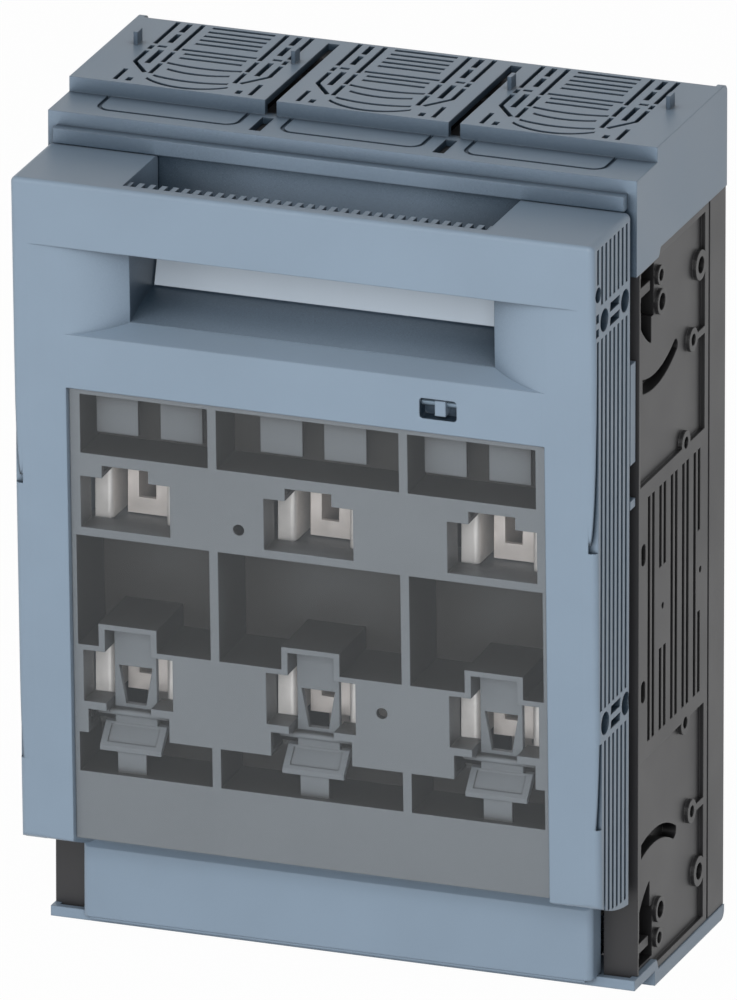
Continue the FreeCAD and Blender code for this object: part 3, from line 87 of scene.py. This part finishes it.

# Lines and tarnish of a metal
STAIN_SCALE = 90
STAIN_CONTRAST = 2.2
STAIN_FLOOR = 0.42
STAIN_TONE = 0.72
LINE_HEIGHT = 0.00006
METAL_EDGE = 0.0003
METAL_ROUGHNESS_SPREAD = 0.2

# The pane
WAVE_SCALE = 9
WAVE_HEIGHT = 0.002
PANE_CLEARNESS = 0.965

# Light and camera, in metres
LIGHT_AIM = Vector((0.0, -50.0, 0.15)) * MM
KEY_PLACE = (0.62, -2.75, 0.95)
KEY_SIZE = 1.6
FILL_PLACE = (-2.0, -1.8, 0.5)
FILL_SIZE = 1.8
FLOOR_SIZE = 30
FLOOR_COLOUR = (0.92, 0.92, 0.92, 1.0)
FLOOR_WHITENESS = 0.98          # the rest of what the camera sees shows the shadow
WHITE = (1, 1, 1, 1)
CAMERA_PLACE = Vector((3618.44, -9930.80, 3836.40)) * MM
CAMERA_LOOK = Vector((-0.32352, 0.88219, -0.34217))
CAMERA_LENS = 1195.6
CAMERA_SENSOR = 36.0


def srgb(red, green, blue):
    """A colour of 0 to 255 as seen on a screen, in the linear values that shaders take."""
    def linear(level):
        level /= 255
        return level / 12.92 if level <= 0.04045 else ((level + 0.055) / 1.055) ** 2.4
    return linear(red), linear(green), linear(blue)


def toned(colour, factor):
    """A colour times a factor, at most white."""
    return tuple(min(1, value * factor) for value in colour)


# Shaders

class Field:
    """A shader socket that takes part in Python expressions."""

    def __init__(self, tree, socket):
        self.tree = tree
        self.socket = socket

    def _math(self, operation, first, second):
        return self.tree.node("ShaderNodeMath", {"operation": operation}, {0: first, 1: second})

    def __add__(self, other):
        return self._math("ADD", self, other)

    def __radd__(self, other):
        return self._math("ADD", other, self)

    def __sub__(self, other):
        return self._math("SUBTRACT", self, other)

    def __mul__(self, other):
        return self._math("MULTIPLY", self, other)

    def above(self, limit):
        return self._math("GREATER_THAN", self, limit)

    def clamped(self):
        return self.tree.node("ShaderNodeClamp", {}, {"Value": self})


class Tree:
    """The nodes of one material, or of the world."""

    def __init__(self, name, world=None):
        self.owner = world or bpy.data.materials.new(name)
        self.owner.use_nodes = True
        self.nodes = self.owner.node_tree.nodes
        self.links = self.owner.node_tree.links
        self.nodes.clear()
        self.output = self.nodes.new(f"ShaderNodeOutput{'World' if world else 'Material'}")

    def node(self, kind, settings, inputs, output=0):
        """Adds a node with its settings, then the values or links of its sockets."""
        made = self.nodes.new(kind)
        for key, value in settings.items():
            setattr(made, key, value)
        for key, value in inputs.items():
            if isinstance(value, Field):
                self.links.new(value.socket, made.inputs[key])
            elif value is not None:
                made.inputs[key].default_value = value
        return Field(self, made.outputs[output])

    def place(self):
        return self.node("ShaderNodeTexCoord", {}, {}, "Object")

    def noise(self, scale, detail, roughness=0.5, place=None):
        return self.node("ShaderNodeTexNoise", {}, {
            "Vector": place or self.place(), "Scale": scale, "Detail": detail,
            "Roughness": roughness})

    def stretched(self, scale):
        return self.node("ShaderNodeMapping", {}, {"Vector": self.place(), "Scale": scale})

    def blend(self, factor, first, second):
        """Mixes two colours; each is a plain colour or a field."""
        def full(colour):
            return colour if isinstance(colour, Field) else (*colour, 1.0)
        return self.node("ShaderNodeMix", {"data_type": "RGBA"}, {
            0: factor, 6: full(first), 7: full(second)}, 2)

    def softened(self, radius):
        """Normals that round the sharp edges of a piece by a small radius."""
        return self.node("ShaderNodeBevel", {"samples": 4}, {"Radius": radius})

    def open_air(self, reach, closed, local):
        """Mask for painted shade: 1 on open faces, down to 0 in grooves and pockets that are
        narrower than reach.

        closed is the free share of the sky that gives 0. Unless local is set, the other pieces
        take part of the sky too."""
        free = self.node("ShaderNodeAmbientOcclusion", {"samples": 8, "only_local": local},
                         {"Distance": reach}, "AO")
        return ((free - closed) * (1 / (FULLY_OPEN - closed))).clamped()

    def bump(self, height, strength, distance, normal=None):
        return self.node("ShaderNodeBump", {}, {
            "Height": height, "Strength": strength, "Distance": distance, "Normal": normal})

    def seen(self):
        """1 where the camera sees the surface, also in a reflection or through a pane."""
        rays = [self.node("ShaderNodeLightPath", {}, {}, f"Is {kind} Ray")
                for kind in ("Camera", "Glossy", "Transmission")]
        return (rays[0] + rays[1] + rays[2]).clamped()

    def close(self, shader):
        self.links.new(shader.socket, self.output.inputs["Surface"])
        return self.owner

    def finish(self, **sockets):
        """Closes the tree with a Principled shader; socket names have _ for a space."""
        inputs = {key.replace("_", " "): value for key, value in sockets.items()}
        return self.close(self.node("ShaderNodeBsdfPrincipled", {}, inputs))


def moulded_plastic(name, colour, grain, roughness, spread=0.05, edge=0.0005, reach=0.03,
                    closed=0.2, painted_shade=None, local=True):
    """Spark-eroded moulding: fine grain, faint flow clouds, and painted shade, a darker colour
    blended into narrow places.
    """
    tree = Tree(name)
    clouds = tree.noise(CLOUD_SCALE, 3.0)
    flow = tree.noise(FLOW_SCALE, 2.0, place=tree.stretched(FLOW_STRETCH))
    share = (clouds * 0.5 + flow * 0.5 - CLOUD_FLOOR) * CLOUD_CONTRAST
    tone = tree.blend(share, toned(colour, 1 - spread), toned(colour, 1 + spread))
    speck = tree.noise(SPECK_SCALE, 1.0).above(SPECK_LIMIT) * SPECK_STRENGTH
    base = tree.blend(speck, tone, toned(colour, SPECK_TONE))
    # Painted shade: in grooves, pockets and narrow places the colour blends towards a dark shade
    # colour.
    painted_shade = painted_shade or toned(colour, MOULDING_SHADE)
    base = tree.blend(tree.open_air(reach, closed, local), painted_shade, base)
    fine = tree.noise(GRAIN_SCALE, 1.0)
    normal = tree.bump(fine, grain, GRAIN_HEIGHT, tree.softened(edge))
    rough = roughness + (clouds - 0.5) * MOULDING_ROUGHNESS_SPREAD
    return tree.finish(Base_Color=base, Roughness=rough, Normal=normal, Specular_IOR_Level=0.45)


def sheet_metal(name, colour, roughness, direction, strength=0.25, metallic=1.0):
    """Rolled metal with fine lines along one direction and faint tarnish."""
    tree = Tree(name)
    lines = tree.noise(1.0, 3.0, 0.6, tree.stretched(direction))
    stain = tree.noise(STAIN_SCALE, 4.0, 0.6)
    tarnish = ((stain - STAIN_FLOOR) * STAIN_CONTRAST).clamped()
    base = tree.blend(tarnish, colour, toned(colour, STAIN_TONE))
    normal = tree.bump(lines, strength, LINE_HEIGHT, tree.softened(METAL_EDGE))
    rough = roughness + (lines - 0.5) * METAL_ROUGHNESS_SPREAD
    return tree.finish(Base_Color=base, Metallic=metallic, Roughness=rough, Normal=normal)


def clear_pane():
    """Clear plastic pane, faintly blue, with hardly visible waves from its moulding."""
    tree = Tree("clear_pane")
    normal = tree.bump(tree.noise(WAVE_SCALE, 1.0), 0.12, WAVE_HEIGHT)
    pane = tree.node("ShaderNodeBsdfPrincipled", {}, {
        "Base Color": (0.72, 0.76, 0.80, 1.0), "Roughness": 0.12, "IOR": 1.35, "Normal": normal})
    see_through = tree.node("ShaderNodeBsdfTransparent", {}, {"Color": (0.97, 0.98, 0.99, 1.0)})
    return tree.close(tree.node("ShaderNodeMixShader", {}, {
        0: PANE_CLEARNESS, 1: pane, 2: see_through}))


def dress(material, *nodes):
    """Gives CAD nodes their material in every slot."""
    for node in nodes:
        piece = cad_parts[node]
        if not piece.material_slots:
            piece.data.materials.append(material)
        for place in piece.material_slots:
            place.link = "OBJECT"
            place.material = material


def each(name):
    """The nodes of a piece that each pole has."""
    return [f"{name}_{pole}" for pole in (1, 2, 3)]


# Modelling

def scoop_height(y):
    """Height of the scoop behind the frame bar at a depth, all in millimetres."""
    (front, low), (back, high) = SCOOP_FRONT, SCOOP_BACK
    share = (y - front) / (back - front)
    return low + (high - low) * share + SCOOP_BULGE * 4 * share * (1 - share)


def block(name, low, high):
    """A block between two corners in millimetres, left in edit mode with nothing selected."""
    bpy.ops.object.select_all(action="DESELECT")
    size = [top - bottom for bottom, top in zip(low, high)]
    middle = [(top + bottom) / 2 * MM for bottom, top in zip(low, high)]
    bpy.ops.mesh.primitive_cube_add(size=1, location=middle)
    piece = bpy.context.object
    piece.name = name
    piece.scale = [value * MM for value in size]
    bpy.ops.object.transform_apply(location=True, rotation=True, scale=True)
    bpy.ops.object.mode_set(mode="EDIT")
    bpy.ops.mesh.select_all(action="DESELECT")
    return piece


def pick(piece, wanted):
    """Selects the vertices of the edited piece whose place in millimetres passes the test."""
    bpy.ops.mesh.select_all(action="DESELECT")
    bpy.ops.object.mode_set(mode="OBJECT")
    for vertex in piece.data.vertices:
        vertex.select = wanted(vertex.co / MM)
    bpy.ops.object.mode_set(mode="EDIT")


# Settings

class FinishSettings(bpy.types.PropertyGroup):
    housing_colour: bpy.props.FloatVectorProperty(
        name="Housing colour", description="Black moulding of housing and rear frame",
        subtype="COLOR", default=srgb(46, 46, 48), min=0.0, max=1.0)
    cover_colour: bpy.props.FloatVectorProperty(
        name="Cover colour", description="Blue-grey moulding of the covers and the handle",
        subtype="COLOR", default=srgb(134, 152, 170), min=0.0, max=1.0)
    carrier_colour: bpy.props.FloatVectorProperty(
        name="Carrier colour", description="Grey moulding behind the pane",
        subtype="COLOR", default=srgb(116, 120, 123), min=0.0, max=1.0)
    label_colour: bpy.props.FloatVectorProperty(
        name="Label colour", description="Light plate on the back wall of the grip",
        subtype="COLOR", default=srgb(172, 184, 196), min=0.0, max=1.0)


class StageSettings(bpy.types.PropertyGroup):
    key_power: bpy.props.FloatProperty(
        name="Key light", description="Power of the large light at the front right",
        subtype="POWER", default=50.0, min=0.0)
    fill_power: bpy.props.FloatProperty(
        name="Fill light", description="Power of the light at the front left",
        subtype="POWER", default=15.0, min=0.0)
    air_level: bpy.props.FloatProperty(
        name="Surrounding light", description="Level of the light from all sides",
        default=0.24, min=0.0, max=1.0)


class FinishMouldings(bpy.types.Operator):
    """Gives housing, covers and handle their moulded plastic"""
    bl_idname = "switchgear.finish_mouldings"
    bl_label = "Finish mouldings"

    def execute(self, context):
        values = context.scene.switchgear_finish
        black = moulded_plastic("black_moulding", tuple(values.housing_colour), 0.22, 0.42)
        # Painted shade: pockets and narrow places of the blue mouldings blend towards this dark
        # blue; on the top cover the nearby handle darkens it as well.
        painted_shade = srgb(36, 52, 66)
        smooth = {"colour": tuple(values.cover_colour), "grain": 0.12, "roughness": 0.42,
                  "spread": 0.04, "edge": 0.0007}
        # The three blue materials are one moulding with different amounts of painted shade.
        lower = moulded_plastic("blue_moulding", **smooth)
        upper = moulded_plastic("cover_moulding", **smooth, reach=0.038, closed=0.45, painted_shade=painted_shade,
                                local=False)
        handle = moulded_plastic("handle_moulding", **smooth, reach=0.09, closed=0.42, painted_shade=painted_shade)
        label = moulded_plastic("label_strip", tuple(values.label_colour), 0.05, 0.38, 0.02,
                                0.0002)
        dress(black, "rear_frame", "base_housing")
        dress(upper, "top_terminal_cover")
        dress(lower, "bottom_terminal_cover")
        dress(handle, "handle_frame", "lock_slide")
        dress(label, "label_plate")
        return {"FINISHED"}


class FinishCarrier(bpy.types.Operator):
    """Gives the fuse carrier and its finger tabs their grey plastic"""
    bl_idname = "switchgear.finish_carrier"
    bl_label = "Finish fuse carrier"

    def execute(self, context):
        values = context.scene.switchgear_finish
        # Painted shade: the carrier's bays and pockets blend towards a warm dark grey.
        grey = moulded_plastic("grey_moulding", tuple(values.carrier_colour), 0.1, 0.5,
                               reach=0.06, closed=0.46, painted_shade=srgb(38, 34, 28))
        dress(grey, "fuse_carrier", *each("fuse_release"))
        return {"FINISHED"}


class FinishMetal(bpy.types.Operator):
    """Gives contacts, clips, plates and fasteners their metals"""
    bl_idname = "switchgear.finish_metal"
    bl_label = "Finish metal pieces"

    def execute(self, context):
        silver = sheet_metal("silvered_copper", srgb(236, 226, 218), 0.32, (40, 40, 900), 0.12,
                             0.35)
        spring = sheet_metal("spring_steel", srgb(232, 226, 220), 0.32, (60, 60, 1200), 0.12, 0.35)
        plate = sheet_metal("steel_plate", srgb(150, 150, 148), 0.42, (900, 60, 60))
        plated = sheet_metal("plated_steel", srgb(190, 190, 186), 0.34, (500, 60, 500))
        rod = sheet_metal("rod_steel", srgb(118, 136, 152), 0.32, (500, 60, 500), metallic=0.6)
        dress(silver, *each("upper_contact"), *each("lower_contact"))
        dress(spring, *each("upper_clip"), *each("lower_clip"))
        dress(plate, *each("arc_plates"))
        dress(plated, "terminal_bolts", "terminal_washers", "contact_screws", "hinge_pin_left",
              "hinge_pin_right", "housing_screws", "carrier_screws")
        dress(rod, "lock_rod")
        return {"FINISHED"}


class FinishWindow(bpy.types.Operator):
    """Gives the inspection window its clear plastic"""
    bl_idname = "switchgear.finish_window"
    bl_label = "Finish window"

    def execute(self, context):
        dress(clear_pane(), "inspection_window")
        return {"FINISHED"}


class ModelScoopEdge(bpy.types.Operator):
    """Models the front of the scoop, from the frame bar's edge to under the grip"""
    bl_idname = "switchgear.model_scoop_edge"
    bl_label = "Model scoop edge"

    def execute(self, context):
        front, low = SCOOP_FRONT
        top = scoop_height(EDGE_BACK)
        piece = block("scoop_edge", (-SCOOP_HALF, front, low - EDGE_FOOT),
                      (SCOOP_HALF, EDGE_BACK, top))
        places = [front + (EDGE_BACK - front) * step / EDGE_STEPS for step in range(EDGE_STEPS)]
        for place in places[1:]:
            bpy.ops.mesh.select_all(action="SELECT")
            bpy.ops.mesh.bisect(plane_co=(0, place * MM, 0), plane_no=(0, 1, 0))
        for place in places:
            pick(piece, lambda at: abs(at.y - place) < TOUCH and at.z > top - TOUCH)
            bpy.ops.transform.translate(value=(0, 0, (scoop_height(place) - top) * MM))
        bpy.ops.object.mode_set(mode="OBJECT")
        bpy.ops.object.shade_smooth_by_angle(angle=EDGE_SMOOTHING)
        piece.data.materials.append(bpy.data.materials["handle_moulding"])
        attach(piece, "handle")
        return {"FINISHED"}


def soft_light(name, place, size, power):
    """A square area light that looks at the middle of the object."""
    lamp = bpy.data.lights.new(name, "AREA")
    lamp.size = size
    lamp.energy = power
    holder = bpy.data.objects.new(name, lamp)
    holder.location = place
    holder.rotation_euler = (LIGHT_AIM - Vector(place)).to_track_quat("-Z", "Y").to_euler()
    bpy.context.collection.objects.link(holder)


class BuildStage(bpy.types.Operator):
    """Builds the pale floor, the lights and the camera"""
    bl_idname = "switchgear.build_stage"
    bl_label = "Build stage"

    def execute(self, context):
        scene = context.scene
        values = scene.switchgear_stage
        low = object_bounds()[0]
        bpy.ops.object.select_all(action="DESELECT")
        bpy.ops.mesh.primitive_plane_add(size=FLOOR_SIZE, location=(0, 0, low[2]))
        floor = context.object
        floor.name = "floor"
        tree = Tree("pale_floor")
        sheet = tree.node("ShaderNodeBsdfDiffuse", {}, {"Color": FLOOR_COLOUR})
        white = tree.node("ShaderNodeEmission", {}, {"Color": WHITE, "Strength": 1.0})
        floor.data.materials.append(tree.close(tree.node("ShaderNodeMixShader", {}, {
            0: tree.seen() * FLOOR_WHITENESS, 1: sheet, 2: white})))
        floor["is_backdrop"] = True
        soft_light("key_light", KEY_PLACE, KEY_SIZE, values.key_power)
        soft_light("fill_light", FILL_PLACE, FILL_SIZE, values.fill_power)
        scene.world = bpy.data.worlds.new("studio")
        air = Tree("studio", scene.world)
        level = values.air_level + air.seen() * (1 - values.air_level)
        air.close(air.node("ShaderNodeBackground", {}, {"Color": WHITE, "Strength": level}))
        scene.view_settings.view_transform = "Standard"
        camera = bpy.data.cameras.new("camera")
        camera.lens = CAMERA_LENS
        camera.sensor_width = CAMERA_SENSOR
        holder = bpy.data.objects.new("camera", camera)
        holder.location = CAMERA_PLACE
        holder.rotation_euler = CAMERA_LOOK.to_track_quat("-Z", "Y").to_euler()
        context.collection.objects.link(holder)
        scene.camera = holder
        return {"FINISHED"}


OPERATORS = (FinishMouldings, FinishCarrier, FinishMetal, FinishWindow, ModelScoopEdge,
             BuildStage)


class SwitchgearPanel(bpy.types.Panel):
    bl_idname = "VIEW3D_PT_switchgear"
    bl_label = "Fuse switch disconnector"
    bl_space_type = "VIEW_3D"
    bl_region_type = "UI"
    bl_category = "Switchgear"

    def draw(self, context):
        for group in (context.scene.switchgear_finish, context.scene.switchgear_stage):
            for name in group.__annotations__:
                self.layout.prop(group, name)
        for operator in OPERATORS:
            self.layout.operator(operator.bl_idname)


CLASSES = (FinishSettings, StageSettings) + OPERATORS + (SwitchgearPanel,)


def register():
    for item in CLASSES:
        bpy.utils.register_class(item)
    bpy.types.Scene.switchgear_finish = bpy.props.PointerProperty(type=FinishSettings)
    bpy.types.Scene.switchgear_stage = bpy.props.PointerProperty(type=StageSettings)


def unregister():
    del bpy.types.Scene.switchgear_stage
    del bpy.types.Scene.switchgear_finish
    for item in reversed(CLASSES):
        bpy.utils.unregister_class(item)


def main():
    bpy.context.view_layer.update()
    register()
    for operator in OPERATORS:
        group, name = operator.bl_idname.split(".")
        getattr(getattr(bpy.ops, group), name)()


if __name__ == "__main__":
    main()
